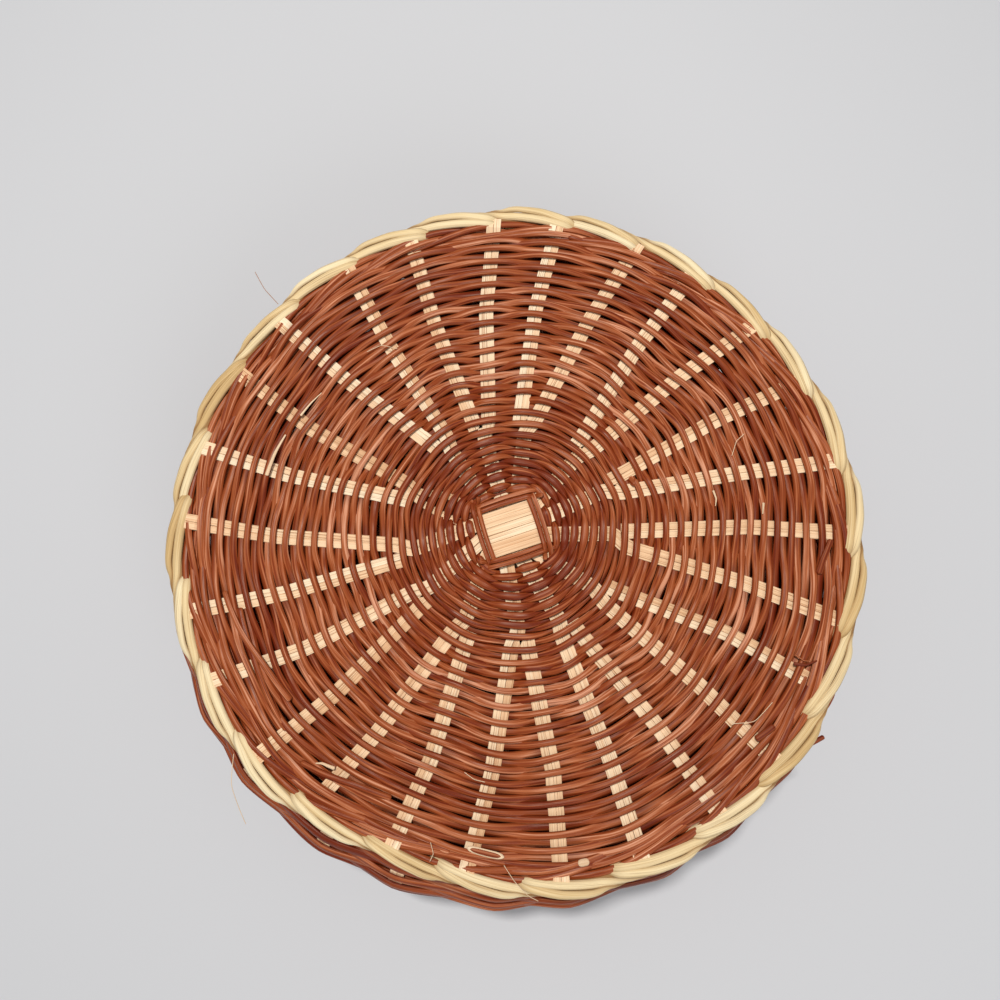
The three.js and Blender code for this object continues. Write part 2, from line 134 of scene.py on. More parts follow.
BINDING_RISE = (2.1, 1.75)  # of one side and the next
BINDING_SIZE = (2.25, 2.0)
BINDING_START = -0.6  # below the panel's middle
BINDING_BEFORE = (3.2, 4.8)  # how far each rod starts before the side's end
BINDING_BEYOND = 6.8
BINDING_TURN = (0.6, 2.4)  # where each turns down, past the side's other end
BINDING_DIVE = 5.0
BINDING_INWARD = 1.2
BINDING_BOW = 0.35
BINDING_TONE = (0.35, 0.3)

# The lid and the base
LEVEL_LID = 100
LEVEL_BASE = 7
LID_PANEL = 138.2
LID_REACH = 144.5  # of the lid's spokes, into its border
TIP_LENGTH = 7.2  # how much of the end of a spoke comes up between the rods
TIP_VARIES = 1.8  # more of it on the left, less on the right
TIP_RISE = 2.3
TIP_RAMP = 3
BASE_PANEL = 112.8
BASE_REACH = 112.5

# The rolled borders
STITCHES = 2 * SPOKES
STITCH_START = 7.8  # degrees
STRAND_WIDTH = (3.7, 4.1)
STRAND_THICKNESS = 2.3
STRAND_TIP = ([0, 0.14, 2.3, 2.5], [0.4, 1, 1, 0.7])  # its size, by stitches along
# How dark a strand is, by stitches along: painted shade where it comes out from under the last stitch and
# runs round the underside, with some soil at its start
STRAND_SHADE_AND_SOIL = ([0, 0.08, 0.3, 1.05, 1.3, 1.6, 2.5], [0.75, 0.5, 0, 0, 0.25, 0.1, 0.5])
STITCH_VARIES = 0.5  # degrees
STITCH_LENGTH = (0.97, 1.03)
STITCH_SHIFT = 0.3
CORE_RODS = ((-1.4, 2.8), (1.2, 2.6))  # how far out each lies, and its height
CORE_WIDTH = 3.0
LID_BORDER = (146.0, 100.0)
RIM_BORDER = (145.5, 91.7)

# The lid's collar
COLLAR_RADIUS = 130.5
COLLAR_LEVEL = 85.4
COLLAR_ROWS = 5
COLLAR_PITCH = 2.95
COLLAR_RISE = 1.3
COLLAR_ROD = (3.6, 2.3)
COLLAR_TOP = 99.2

# The wall
BELLY_RADIUS = 160.5
BELLY_DRIFT = (3.0, 205)  # the belly isn't round either: how far it bulges, and towards which angle
BELLY_DENT = (190, 13, -2.6)  # its dent: towards which angle, over how many degrees and how deep
BELLY_LEVEL = 68
BELLY_POWER = 2
FOOT_RADIUS = 121
FOOT_LEVEL = 10
RIM_WALL_RADIUS = 145.5
SHOULDER_SPAN = 19.7
SHOULDER_POWER = 1.8
WALL_SPAN = (10.2, 83.4)  # the heights that its rods fill
WALL_TOP = 88
WALL_PITCH = 2.75
WALL_BREADTH = ([-1, 0, 1], [3.9, 4.1, 3.4])  # of a rod under a stake, between two and over one
SHOULDER_SPREAD = ([66, 78], [1, 1.12])  # the rods lie wider on the shoulder, by height
WALL_STRAIGHT = 0.8  # how far a rod is pulled in between two stakes
WALL_CREST = 0.985  # nearer 1, a rod bends more sharply over a stake
WALL_LEVEL_TURNS = (0.9, 0.4)  # its rods' level turns, below and above
WALL_MEND = (0.8, 1.4)
STAKES = 2 * SPOKES
STAKE_SPAN = (5.5, 88.6)

# Wales, as rings: radius, height, the direction that they face as parts out and up, how far their
# rods slant out and up across each other, strands, width, thickness and rise
LID_WALES = [(140, 0, 0, 1, 4.8, 0, 3, 3.1, 2.4, 1.3), (137.6, 0, 0, 1, 3.2, 0, 2, 2.9, 2.4, 1.3)]
RIM_WALES = [
    (150.2, 84.3, 0.8, 0.6, 0, 1.8, 3, 3, 2.3, 1.3),
    (147.6, 86.4, 0.7, 0.7, 0, 1, 2, 2.7, 2.1, 1.1),
]
FOOT_WALES = [
    ring + (0, 0.8, 2, 3.6, 3, 0.45)
    for ring in (
        (115.4, 2.6, -0.5, -0.8), (118.7, 2.5, 0.6, -0.8), (120.6, 5.6, 1, 0), (115.4, 6.4, -1, 0),
        (122.6, 8.6, 0.9, -0.3), (118.4, 8.8, 0, 1), (113.5, 6.9, -0.3, 0.95),
    )
]
LID_WALE_TONES = (0.15, 0.7)  # the darkest tone, and how much lighter a rod may be
# The rim's wale is darker than the lid's: partly painted shade under the lid's edge, partly a darker red.
RIM_WALE_TONES = (0, 0.5)
FOOT_WALE_TONES = (0.15, 0.55)
WALE_TURNS = 1.08
WALE_STEPS = 11  # points along a rod from spoke to spoke
WALE_WAVES = (0.25, 0.95, 0.18)  # its mean rise, its wave over three spokes and one of half that length
WALE_NOISE = 0.12

# What a hand left: splinters, stray fibres and rod ends. Each has its points, as (angle, radius,
# height), its width, height and tone, how deep in shadow it lies (none: as deep as its height says)
# and its sizes at both ends.
SPLINTERS = [
    ([(157, 108.4, 2.9), (162, 109.3, 3.5), (167.5, 110, 2.9)], 1.9, 0.9, 0.7, 0.2, (0.4, 1)),
    ([(144, 104.5, 3.2), (147.5, 105.5, 3.5), (151.5, 106.7, 2.6)], 1.1, 0.6, 0.8, 0.15, (0.3, 1)),
    ([(230.2, 127.2, 2.2), (231.2, 125.2, 3), (233.6, 124, 2.4)], 1.7, 0.8, 0.8, 0.25, (0.3, 1)),
    ([(6, 87.6, 3), (8, 88.4, 3.3), (10.4, 88, 2.8)], 1, 0.5, 0.8, 0.3, (0.4, 1)),
    ([(3, 107, 3), (5.5, 108, 3)], 1.2, 0.6, 0.8, 0.4, (0.4, 1)),
]
SPLINT_CUTS = [  # start and end as (angle, radius), width, height, tone and how deep in shadow
    ((262, 132), (268.6, 133.2), 3.3, 3, 0.8, 0.1),
    ((281, 136.7), (282.9, 136.6), 3.1, 3.3, 0.7, 0.45),
]
ROD_CUT = ((262.6, 132.1), (268, 133.1), 2.2, 3.25, 0.5, 0.3)
FIBRES = [
    [(268.5, 136, 3.3), (270.5, 142, 5.4), (272.5, 147, 5), (274, 149.5, 3.2)],
    [(255.5, 134, 3.1), (256.5, 138, 3.9), (256.2, 142, 3.4)],
    [(259, 102, 3.2), (261.5, 104, 3.8), (264, 104.5, 3.2)],
    [(219, 149, 3), (222.5, 158, 2), (228, 168, -6)],
    [(122, 96, 3.2), (125, 101, 4.6), (129, 103, 3.4)],
    [(18, 100, 3.2), (21, 104, 4.4), (22, 109, 3.4)],
    [(318, 120, 3.2), (321, 126, 4.6), (326, 128, 3.4)],
]
FIBRE_SIZE = 0.28
DARK_HAIR = [(135.7, 149, 2.5), (135.5, 159, 3), (134.5, 170, 1)]
HAIR_SIZE = 0.3
ROD_ENDS = [
    ([(192, 126, 2.2), (200, 123, 3.6), (209, 119, 3.4), (218, 117.5, 1.8)], 3, 2.2, 0.6, None, (0.8, 1)),
    ([(196, 121, 2), (205, 121.5, 3.2), (214, 124, 3), (222, 126.5, 1.6)], 2.8, 2.1, 0.45, None, (1, 0.8)),
    ([(351.5, 130.5, 1.6), (354, 131.5, 2.8), (357.6, 134.5, 3.3)], 3, 2, 0.3, 0.35, (1, 0.8)),
    ([(334, 129, 2.4), (334.6, 133, 3.2), (336.2, 137, 2.6)], 1.5, 1.2, 0.1, 0.6, (1, 0.5)),
    ([(335.6, 128, 2.6), (335.2, 132, 3.3), (335.8, 135, 3)], 0.8, 0.7, 0.7, 0.1, (1, 0.4)),
    ([(319, 131.5, 2), (322.4, 133.4, 3.2)], 2.8, 2, 0.3, 0.4, (1, 1)),
    ([(228, 131, 1.4), (233, 128, 3.2), (239, 124.5, 3.3), (246, 123, 1.6)], 3.1, 2.2, 0.35, None, (0.9, 1)),
]
RIM_ROD_END = ([(320, 150, 83.5), (324, 155.5, 84.5), (326.5, 159.3, 84.5)], 2.4, 2, 0.1, 0.3, (1, 0.8))

# Looks, light and camera
GROOVE_DEPTH = 0.0004  # metres
GROOVES_BELOW = 0.46  # the value of the finest noise below which a groove lies
FINE_GROOVES = 0.6  # their share of the relief
# How strongly painted shade darkens a rod's colour, and how much duller it makes it
BURIED_POWER = 1.3
BURIED_SHARE = 0.88
DULLER_STREAKS = 0.28
DULLER_BURIED = 0.2
SHINE = 0.36
SHINE_COLOR = (1.0, 0.84, 0.7, 1)
FLOOR_SIZE = 6
FLOOR_COLOR = (0.66, 0.67, 0.69, 1)
FLOOR_ROUGHNESS = 0.9
WORLD_STRENGTH = 0.34
LAMPS = [  # name, place, aim, size, power and colour
    ("key", (-0.1, 0.33, 1.3), (0, 0, 0.08), 0.1, 11.3, (1.0, 0.97, 0.94)),
    ("fill", (0.5, -1.1, 0.9), (0, -0.1, 0), 0.9, 4.5, (0.97, 0.98, 1.0)),
]
CAMERA_PLACE = Vector((0.0051, -0.0407, 0.410))
CAMERA_AIM = Vector((-0.032, 0.170, -0.985)).normalized()
CAMERA_LENS = 26
CAMERA_SENSOR = 36


def degrees(angle):
    return angle * math.pi / 180


def polar(radius, angle):
    return np.stack([radius * np.cos(angle), radius * np.sin(angle)], -1)


def around(radius, angle, level):
    """Points from their radius, angle and height, or directions from their parts out and up."""
    flat = polar(radius, angle)
    return np.concatenate([flat, np.broadcast_to(level, len(flat))[:, None]], 1)


def share_of(value, span):
    """0 below a span, 1 above it, and growing evenly within it."""
    low, high = span
    return np.clip((value - low) / (high - low), 0, 1)


def wobble(count, size, low, high):
    """A smooth closed noise over angle and a second coordinate, as a function of both."""
    amp = RODS.uniform(0.4, 1.0, count)
    turns = RODS.randint(low, high, count)
    shift = RODS.uniform(0, TAU, count)
    drift = RODS.uniform(-0.09, 0.09, count)
    amp *= size / np.sqrt(np.sum(amp**2) / 2)

    def noise(angle, across):
        total = 0
        for a, n, s, d in zip(amp, turns, shift, drift):
            total = total + a * np.cos(n * angle + s + d * across)
        return total

    return noise


def bell(angle, toward, width):
    """1 at an angle and falling off on both sides of it, in degrees."""
    away = (angle - toward + 180) % 360 - 180
    return np.exp(-((away / width) ** 2))


def out_of_round(points):
    """Moves points near the lid's and the rim's edge in or out."""
    angle = np.degrees(np.arctan2(points[:, 1], points[:, 0]))
    radius = np.hypot(points[:, 0], points[:, 1])
    shift = 0
    for toward, width, size in OUT_OF_ROUND:
        shift = shift + size * bell(angle, toward, width)
    shift = shift * share_of(radius, SHIFTED_RADII) ** 2 * share_of(points[:, 2], SHIFTED_LEVELS)
    moved = points.copy()
    moved[:, :2] *= (1 + shift / np.maximum(radius, 1))[:, None]
    return moved


class Bundle:
    """Rods and splints swept along their paths and made into one mesh."""

    def __init__(self):
        self.points, self.faces, self.uvs, self.shades = [], [], [], []
        self.count = 0

    def add(self, rings, along, shade):
        """rings: (n, sides, 3) in mm; along: (n,) mm; shade: (n, sides, 4)."""
        n, sides, _ = rings.shape
        index = np.arange(n * sides).reshape(n, sides) + self.count
        nxt = np.roll(index, -1, axis=1)
        walls = np.stack([index[:-1], index[1:], nxt[1:], nxt[:-1]], -1).reshape(-1, 4)
        j = np.arange(sides)
        u = np.repeat(along[:, None], sides, 1)
        quad_u = np.stack([u[:-1], u[1:], u[1:], u[:-1]], -1).reshape(-1, 4)
        v0 = np.broadcast_to(j / sides, (n - 1, sides))
        v1 = np.broadcast_to((j + 1) / sides, (n - 1, sides))
        quad_v = np.stack([v0, v0, v1, v1], -1).reshape(-1, 4)
        k = np.arange(sides // 2 - 1)
        ladder = np.stack([k, k + 1, sides - 2 - k, sides - 1 - k], -1)
        start = index[0][ladder]
        end = index[-1][ladder[:, ::-1]]
        cap_v = ladder / sides
        self.faces += [walls, start, end]
        self.uvs += [
            np.stack([quad_u, quad_v], -1),
            np.stack([np.full(start.shape, along[0]), cap_v], -1),
            np.stack([np.full(end.shape, along[-1]), cap_v[:, ::-1]], -1),
        ]
        self.points.append(rings.reshape(-1, 3))
        self.shades.append(shade.reshape(-1, 4))
        self.count += n * sides

    def make(self, name, body, material, replaced, turned=None, level=0, smooth=True):
        points = np.concatenate(self.points)
        if turned is not None:
            points = points * turned
        points = out_of_round(points + (0, 0, level)) * MM
        faces = np.concatenate(self.faces)
        mesh = bpy.data.meshes.new(name)
        mesh.from_pydata(points, [], faces)
        layer = mesh.uv_layers.new(name="along")
        layer.data.foreach_set("uv", np.concatenate(self.uvs).astype(np.float32).ravel())
        rod = mesh.attributes.new("rod", "FLOAT_COLOR", "POINT")
        rod.data.foreach_set("color", np.concatenate(self.shades).astype(np.float32).ravel())
        mesh.polygons.foreach_set("use_smooth", np.full(len(faces), smooth))
        mesh.materials.append(material)
        mesh.update()
        piece = bpy.data.objects.new(name, mesh)
        bpy.context.scene.collection.objects.link(piece)
        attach(piece, body)
        if replaced:
            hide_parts(*replaced)


def unit(v):
    return v / np.linalg.norm(v, axis=-1, keepdims=True)


def round_section():
    angle = np.arange(ROD_SIDES) * TAU / ROD_SIDES + TAU / ROD_SIDES / 2
    return np.cos(angle), np.sin(angle)


def flat_section():
    """A splint's section: flat faces and slightly rounded edges."""
    across = np.array([1, 0.92, -0.92, -1, -1, -0.92, 0.92, 1])
    out = np.array([0.7, 1, 1, 0.7, -0.7, -1, -1, -0.7])
    return across, out


def lengths(path):
    return np.concatenate([[0], np.cumsum(np.linalg.norm(np.diff(path, axis=0), axis=1))])


def eased(padded, reach):
    """A mean of each value and its neighbours. padded has reach more values at both ends."""
    kernel = np.hanning(2 * reach + 3)[1:-1]
    kernel /= kernel.sum()
    return np.convolve(padded, kernel, "valid")


def smooth(values, reach):
    """Eases a list of values, with reach neighbours on each side."""
    return eased(np.concatenate([np.full(reach, values[0]), values, np.full(reach, values[-1])]), reach)


def sweep(
    bundle, path, normal, width, height, tone, hue,
    section=None, rise=None, sink=None, edge=0, ends=1.0,
):
    """Adds a rod along path. Its colour is darkened with painted shade by rise, its middle's height over the
    weave's own middle, or by sink, how deep in shadow it lies along its length, and edge, how much deeper in
    shadow its two edges lie."""
    n = len(path)
    width = np.broadcast_to(width, n) / 2
    height = np.broadcast_to(height, n) / 2
    normal = np.broadcast_to(normal, (n, 3))
    ahead = unit(np.gradient(path, axis=0))
    side = unit(np.cross(ahead, normal))
    out = np.cross(side, ahead)
    along = lengths(path)
    rise = np.zeros(n) if rise is None else rise
    if ends:
        path, width, height, side, out, along, rise = rounded(
            path, width, height, side, out, along, rise, ahead, ends
        )
        n = len(path)
    a, b = round_section() if section is None else section
    rings = (
        path[:, None]
        + (width[:, None] * a)[..., None] * side[:, None]
        + (height[:, None] * b)[..., None] * out[:, None]
    )
    # Painted shade: the rod's underside and the faces that lie low in the weave are darkened in colour.
    level = rise[:, None] + height[:, None] * b
    buried = np.clip((SHADED_BELOW - b * level) / SHADE_DEPTH, 0, 1)
    if sink is not None:
        knots = np.linspace(0, 1, np.size(sink))
        buried = np.interp(np.linspace(0, 1, n), knots, np.ravel(sink))[:, None]
        buried = np.clip(buried + edge * (1 - b), 0, 1)
    shade = np.ones((n, len(a), 4))
    shade[..., 0] = tone
    shade[..., 1] = buried
    shade[..., 2] = hue
    bundle.add(rings, along, shade)


def rounded(path, width, height, side, out, along, rise, ahead, ends):
    """Adds shrinking rings at both ends. ends: how long the rounding is, against its usual length."""
    before = width[0] * 2 * (CAP_STEPS * ends)
    after = width[-1] * 2 * (CAP_STEPS * ends)[::-1]
    first = path[0] - ahead[0] * before[:, None]
    last = path[-1] + ahead[-1] * after[:, None]

    def extended(values):
        return np.concatenate([np.repeat(values[:1], 2, 0), values, np.repeat(values[-1:], 2, 0)])

    width = extended(width)
    height = extended(height)
    for size in (width, height):
        size[:2] *= CAP_SIZES
        size[-2:] *= CAP_SIZES[::-1]
    path = np.concatenate([first, path, last])
    along = np.concatenate([along[0] - before, along, along[-1] + after])
    return path, width, height, extended(side), extended(out), along, extended(rise)


def splint(bundle, path, normal, varies=None):
    """Adds a flat splint along path. varies: the least and the most that its width may differ."""
    tone, hue = rod_tone()
    width = SPLINT_WIDTH - PAIR_GAP
    if varies is not None:
        width = width + RODS.uniform(*varies)
    sweep(
        bundle, path, normal, width, SPLINT_THICKNESS, tone, hue,
        section=flat_section(), sink=0, ends=0,
    )


# Where the spokes run


def smooth_route(points):
    """A polyline with its corners eased, as points about a step apart."""
    points = np.array(points, float)
    along = lengths(points)
    count = max(8, int(along[-1] / ROUTE_STEP))
    s = np.linspace(0, along[-1], count)
    fine = np.stack([np.interp(s, along, points[:, k]) for k in range(2)], -1)
    half = max(1, int(ROUTE_EASE / ROUTE_STEP / 2))
    padded = np.concatenate(
        [2 * fine[0] - fine[half:0:-1], fine, 2 * fine[-1] - fine[-2 : -half - 2 : -1]]
    )
    return np.stack([eased(padded[:, k], half) for k in range(2)], -1)


def slath_place(index):
    """The side of the centre square at which a spoke comes out, and its place on that side."""
    place = index + 1 - (1 if index > ADDED_SPOKE else 0)
    place %= SPOKES - 1
    return place // SPOKES_PER_SIDE, place % SPOKES_PER_SIDE


def slath_point(index, beyond=0.0):
    """Where a spoke is as it comes out of the centre square, or some way beyond."""
    side, slot = slath_place(index)
    turn = degrees(SLATH_TURN + side * 90)
    x = SPLINTS_PER_LAYER * SPLINT_WIDTH / 2 + beyond
    y = (slot - 1) * 2 * SPLINT_WIDTH
    return np.array([x * math.cos(turn) - y * math.sin(turn), x * math.sin(turn) + y * math.cos(turn)])


def spoke_middle(index):
    return degrees(SPOKE_ANGLES[index][0])


def parted(index, pair, reach):
    """Where one of a spoke's two pairs runs once they have parted."""
    split = degrees(SPOKE_ANGLES[index][1]) + (2 * pair - 1) * (SPLINT_WIDTH + PAIRS_APART) / SPLIT_END
    midway, end = (degrees(angle) for angle in SPOKE_ANGLES[index][2 + pair])
    return [polar(SPLIT_END, split), polar(MIDWAY * reach, midway), polar(reach, end)]


def primary_route(index, reach):
    """Where a spoke's first pair runs, from the centre square to the edge."""
    if index == ADDED_SPOKE:
        start = [polar(ADDED_START, spoke_middle(index))]
    else:
        start = [slath_point(index), slath_point(index, SLATH_LEAD)]
    start.append(polar(SPLIT_START, spoke_middle(index)))
    return smooth_route(start + parted(index, 0, reach))


def second_route(index, reach):
    """Where the pair runs that is put in beside the first one."""
    rest = parted(index, 1, reach)
    return smooth_route([rest[0] * SECOND_START / SPLIT_END] + rest)


def is_upper(index):
    """Whether a spoke belongs to the centre square's upper layer."""
    return index != ADDED_SPOKE and slath_place(index)[0] % 2 == 0


def angle_of(route):
    """The radii of a route in order, and its angle at each."""
    radius = np.hypot(route[:, 0], route[:, 1])
    angle = np.unwrap(np.arctan2(route[:, 1], route[:, 0]))
    order = np.argsort(radius)
    return radius[order], angle[order]


def crossing_angles(radius, reach, single):
    """The angles of the spokes that a weaver crosses at each radius, in order, starting near +X."""
    columns = []
    for i in range(SPOKES):
        middle = spoke_middle(i)
        pairs = []
        for route in (primary_route(i, reach), second_route(i, reach)):
            r, a = angle_of(route)
            pairs.append(np.interp(radius, r, a - TAU * round((a[-1] - middle) / TAU)))
        if single:
            share = share_of(radius, (SPLIT_START, SPLIT_END))
            columns.append(pairs[0] + share * (pairs[1] - pairs[0]) / 2)
        else:
            columns += pairs
    return np.stack(columns, -1)


def phase(theta, crossings):
    """Counts crossings along a path: whole at each spoke's middle."""
    count = crossings.shape[1]
    relative = theta - crossings[:, 0]
    turns = np.floor(relative / TAU)
    relative = relative - turns * TAU
    steps = np.concatenate([crossings - crossings[:, :1], np.full((len(theta), 1), TAU)], 1)
    place = np.clip((steps <= relative[:, None]).sum(1) - 1, 0, count - 1)
    rows = np.arange(len(theta))
    low = steps[rows, place]
    high = steps[rows, place + 1]
    return turns * count + place + (relative - low) / (high - low)


def over_under(psi, edge_cos):
    """1 over a spoke, -1 under it, flat as long as the rod lies on the splints."""
    sharp = np.clip(CREST_FLATNESS / edge_cos, *CREST_LIMITS)
    return np.tanh(sharp * np.cos(math.pi * psi)) / np.tanh(sharp)


def squareness(radius, theta):
    """How far a row near the middle follows the centre square, as a factor on its radius."""
    s = np.clip((ROUND_FROM - radius) / (ROUND_FROM - FIRST_ROW), 0, 1)
    t = theta - degrees(SLATH_TURN)
    p = SQUARE_POWER
    square = (np.abs(np.cos(t)) ** p + np.abs(np.sin(t)) ** p) ** (-1 / p) / SQUARE_MEAN
    return 1 + s * (square - 1)


def rod_tone():
    """A rod's own tone and the seed of its grain."""
    return np.clip(RODS.normal(*ROD_TONE), 0, 1), RODS.uniform(0, 1)


# Woven panels


def cut_places(theta, weave, mend):
    """Where a weaver is cut into rods: where it passes lowest under a spoke. mend: turns to a rod."""
    lowest = (np.diff(np.sign(np.diff(weave))) > 0) & (weave[1:-1] < -0.9)
    lows = np.where(lowest)[0] + 1
    cuts = [0]
    while True:
        goal = theta[cuts[-1]] + RODS.uniform(*mend) * TAU
        later = lows[theta[lows] > goal]
        if len(later) == 0 or theta[-1] - goal < 0.4 * TAU:
            return cuts + [len(theta) - 1]
        cuts.append(later[0])


def panel_rows(bundle, radius_of, turns, reach, single, sign, sizes, mend, shared):
    """One weaver wound round a panel, cut into rods where it passes under a spoke."""
    start = turns[0] * TAU
    end = turns[1] * TAU
    count = SPOKES if single else STAKES
    theta = np.linspace(start, end, int((end - start) / TAU * (count * STEPS_PER_SPOKE)))
    radius = radius_of(theta / TAU)
    psi = phase(theta, crossing_angles(radius, reach, single))
    half_pair = SPLINT_WIDTH
    if single:
        half_pair = np.where(radius > SECOND_START, SPLINT_WIDTH * 2.05, SPLINT_WIDTH)
    covered = np.minimum(half_pair / radius / (TAU / count), 0.45)
    edge_cos = np.maximum(np.cos(math.pi * covered), 0.2)
    weave = sign * over_under(psi, edge_cos)
    cuts = cut_places(theta, weave, mend)
    for low, high in zip(cuts[:-1], cuts[1:]):
        span = slice(max(0, low - LAP), high + LAP)
        t, r, w = theta[span], radius[span], weave[span]
        own = wobble(5, 0.26, 3, max(6, int(r.mean() / 5)))
        lift = wobble(4, 0.12, 6, 26)
        tone, hue = rod_tone()
        tone -= np.interp(r.mean(), *FINE_DARKER)
        shift = shared(t, r) + own(t, 0) + RODS.normal(0, ROD_SHIFT)
        small = np.clip((r - FIRST_ROW) / 50, 0.1, 1)
        rr = (r + shift * small) * squareness(r, t)
        tight = np.interp(r, *FINE_TIGHT)
        rise = np.where(w > 0, w * WEAVE_RISE, w * WEAVE_SINK) * tight + lift(t, 0) * tight
        # Tucked ends
        s = np.arange(len(t), dtype=float)
        for edge_s, going in ((s, low > 0), (s[::-1], high < len(theta) - 1)):
            if going:
                rise = rise - np.clip(1 - edge_s / LAP, 0, 1)
        end_sizes = RODS.permutation([RODS.uniform(0.9, 1.0), RODS.uniform(1.0, 1.1)])
        size = np.interp(s / len(s), [0, 1], end_sizes)
        path = around(rr, t, rise)
        crest, between, thickness = (np.interp(r, *table) for table in sizes)
        under = between * (1 - UNDER_WIDER * w)
        breadth = np.where(w > 0, between + (crest - between) * w**2, under) * size
        # rise / tight makes the painted shade as deep in the fine zone as in the coarse one
        sweep(bundle, path, (0, 0, 1), breadth, thickness * size, tone, hue, rise=rise / tight)


def splints(bundle, reach, tip_rise):
    """All splints of a panel, each a strip of its own. tip_rise: how far they come up at the edge."""

    def strip(route, offset, level):
        radius = np.hypot(route[:, 0], route[:, 1])
        toward = math.atan2(route[-1, 1], route[-1, 0])
        tip = TIP_LENGTH - TIP_VARIES * math.cos(toward) + math.sin(5 * toward)
        level = level + tip_rise * np.clip((radius - reach + tip) / TIP_RAMP, 0, 1)
        ahead = unit(np.gradient(route, axis=0))
        side = np.stack([ahead[:, 1], -ahead[:, 0]], -1)
        line = route + side * np.broadcast_to(offset, len(route))[:, None]
        s = np.linspace(0, 1, len(line))
        wave = 0.05 * np.cos(s * RODS.uniform(20, 40) + RODS.uniform(0, TAU))
        line = line + side * wave[:, None]
        splint(bundle, np.concatenate([line, level[:, None]], 1), (0, 0, 1), varies=(-0.08, 0.02))

    def ease(route, index):
        radius = np.hypot(route[:, 0], route[:, 1])
        way = LAYER_RISE * (1 if is_upper(index) else -1)
        s = share_of(radius, LAYER_EASE)
        return way * (1 - s * s * (3 - 2 * s))

    half = SPLINT_WIDTH / 2
    done = set()
    for index in range(SPOKES):
        if index == ADDED_SPOKE or index in done:
            continue
        side, slot = slath_place(index)
        partner = next(
            k for k in range(SPOKES) if k != ADDED_SPOKE and slath_place(k) == ((side + 2) % 4, 2 - slot)
        )
        done |= {index, partner}
        one = primary_route(index, reach)
        other = primary_route(partner, reach)
        middle = np.linspace(one[0], other[0], 16)[1:-1]
        level = LAYER_RISE * (1 if is_upper(index) else -1)
        for lane in (-half, half):
            # Outwards along the second arm the side vector turns round, so the lane keeps its sign.
            route = np.concatenate([one[::-1], middle, other])
            between = np.full(len(middle), level)
            levels = np.concatenate([ease(one, index)[::-1], between, ease(other, partner)])
            strip(route, lane, levels)
    added = primary_route(ADDED_SPOKE, reach)
    radius = np.hypot(added[:, 0], added[:, 1])
    spread = degrees(np.interp(radius, [ADDED_START, SPLIT_START], ADDED_SPREAD)) * radius
    for lane in (-1, 1):
        strip(added, lane * (half + spread), np.full(len(added), ADDED_LEVEL))
    for index in range(SPOKES):
        route = second_route(index, reach)
        for lane in (-half, half):
            strip(route, lane, np.full(len(route), 0.0))


def binding(bundle, face):
    """Two rods along each side of the centre square. Each starts under the last side's, passes over
    the next side's and dives. face: 1 for the panel's outside, -1 for its inside."""
    half = SPLINTS_PER_LAYER * SPLINT_WIDTH / 2
    for side in range(4):
        turn = degrees(SLATH_TURN + 90 * side)
        rise = BINDING_RISE[side % 2]
        for lane, beyond in enumerate(BINDING_OUT):
            s = np.linspace(-half - BINDING_BEFORE[lane], half + BINDING_BEYOND, 44)
            up = np.clip((s + half + 3.5) / 4.0, 0, 1)
            down = np.clip((s - half - BINDING_TURN[lane]) / 6.0, 0, 1)
            z = BINDING_START + (rise - BINDING_START) * up * up * (3 - 2 * up)
            z = z + 0.35 * np.exp(-((s - half - 1) / 2.5) ** 2) - BINDING_DIVE * down * down
            bow = BINDING_BOW * np.cos(s / half * 1.5) + 0.1 * lane
            x = half + beyond + bow - BINDING_INWARD * down**2
            east = x * math.cos(turn) + s * math.sin(turn)
            north = x * math.sin(turn) - s * math.cos(turn)
            tone, hue = rod_tone()
            path = np.stack([east, north, face * z], -1)
            width, height = BINDING_SIZE
            tone = BINDING_TONE[0] + BINDING_TONE[1] * tone
            sweep(bundle, path, (0, 0, face), width, height, tone, hue, rise=z)


def woven_panel(prefix, body, edge, reach, tip_rise, level, turned, splint_nodes):
    """Splints and rods of the lid or the base."""
    shared = wobble(9, 0.55, 2, 15)
    bundle = Bundle()
    splints(bundle, reach, tip_rise)
    bundle.make(
        prefix + "_splints", body, SPLINT, splint_nodes, turned, level, smooth=False
    )

    bundle = Bundle()
    binding(bundle, 1)
    bundle.make(prefix + "_binding_rods", body, ROD, [prefix + "_slath_binding"], turned, level)

    fine_turns = (FINE_END - FIRST_ROW) / FINE_PITCH
    double_turns = (DOUBLE_END - FINE_END) / DOUBLE_PITCH

    def fine(t):
        return np.where(
            t < fine_turns, FIRST_ROW + FINE_PITCH * t, FINE_END + DOUBLE_PITCH * (t - fine_turns)
        )

    bundle = Bundle()
    turns = fine_turns + double_turns
    panel_rows(bundle, fine, (0, turns), reach, True, 1, FINE_SIZES, FINE_MEND, shared)
    bundle.make(prefix + "_fine_rods", body, ROD, [prefix + "_fine_weave"], turned, level)

    bundle = Bundle()
    rows = (edge - DOUBLE_END) / COARSE_PITCH
    for strand in range(2):
        start = turns % 1 + 0.5 * strand

        def coarse(t, start=start, last=edge - COARSE_PITCH * (1 - strand)):
            return np.minimum(DOUBLE_END + 2 * COARSE_PITCH * (t - start), last)

        panel_rows(
            bundle, coarse, (start, start + rows / 2 + 0.3), reach, False, 1 - 2 * strand,
            COARSE_SIZES, COARSE_MEND, shared,
        )
    bundle.make(prefix + "_coarse_rods", body, ROD, [prefix + "_coarse_weave"], turned, level)


